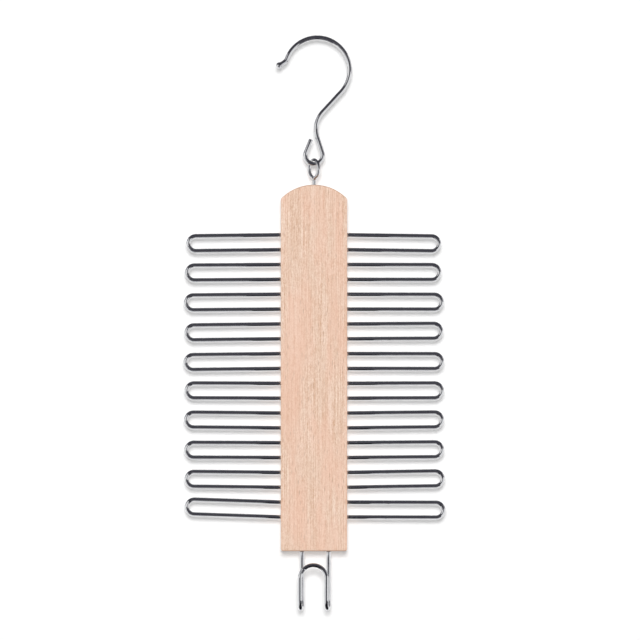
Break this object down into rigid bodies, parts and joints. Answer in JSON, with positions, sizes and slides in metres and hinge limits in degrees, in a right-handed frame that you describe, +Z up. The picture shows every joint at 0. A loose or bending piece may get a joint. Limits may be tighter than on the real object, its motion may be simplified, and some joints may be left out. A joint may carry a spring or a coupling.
{
  "type": "tie hanger",
  "caption": "Beech board with chromed wire tie loops along both edges, hung by a screw eye from an open rod hook, with a double wire hook under it.",
  "frame": {"origin": "on the axis of the closet rod, at the centre of the rod hook's round bend", "axes": "+Z up, against the pull of the hanging board; -Y towards the viewer of the board's front; +X to the viewer's right"},
  "size_m": [0.1866, 0.0204, 0.4098],
  "materials": {
    "beech": "planed beech, satin lacquer",
    "chromed_wire": "bright chrome plated steel wire"
  },
  "bodies": {
    "hook": {"rod_hook": "chromed_wire"},
    "rack": {"board": "beech", "screw_eye": "chromed_wire", "lower_hook": "chromed_wire", "left_loop_01": "chromed_wire", "left_loop_02": "chromed_wire", "left_loop_03": "chromed_wire", "left_loop_04": "chromed_wire", "left_loop_05": "chromed_wire", "left_loop_06": "chromed_wire", "left_loop_07": "chromed_wire", "left_loop_08": "chromed_wire", "left_loop_09": "chromed_wire", "left_loop_10": "chromed_wire", "right_loop_01": "chromed_wire", "right_loop_02": "chromed_wire", "right_loop_03": "chromed_wire", "right_loop_04": "chromed_wire", "right_loop_05": "chromed_wire", "right_loop_06": "chromed_wire", "right_loop_07": "chromed_wire", "right_loop_08": "chromed_wire", "right_loop_09": "chromed_wire", "right_loop_10": "chromed_wire"}
  },
  "joints": [
    {"name": "rack_tilt", "type": "hinge", "parent": "hook", "child": "rack", "pos_m": [-0.00227, 0, -0.06075], "axis": [0, 1, 0], "range_deg": [-45, 45]}
  ]
}
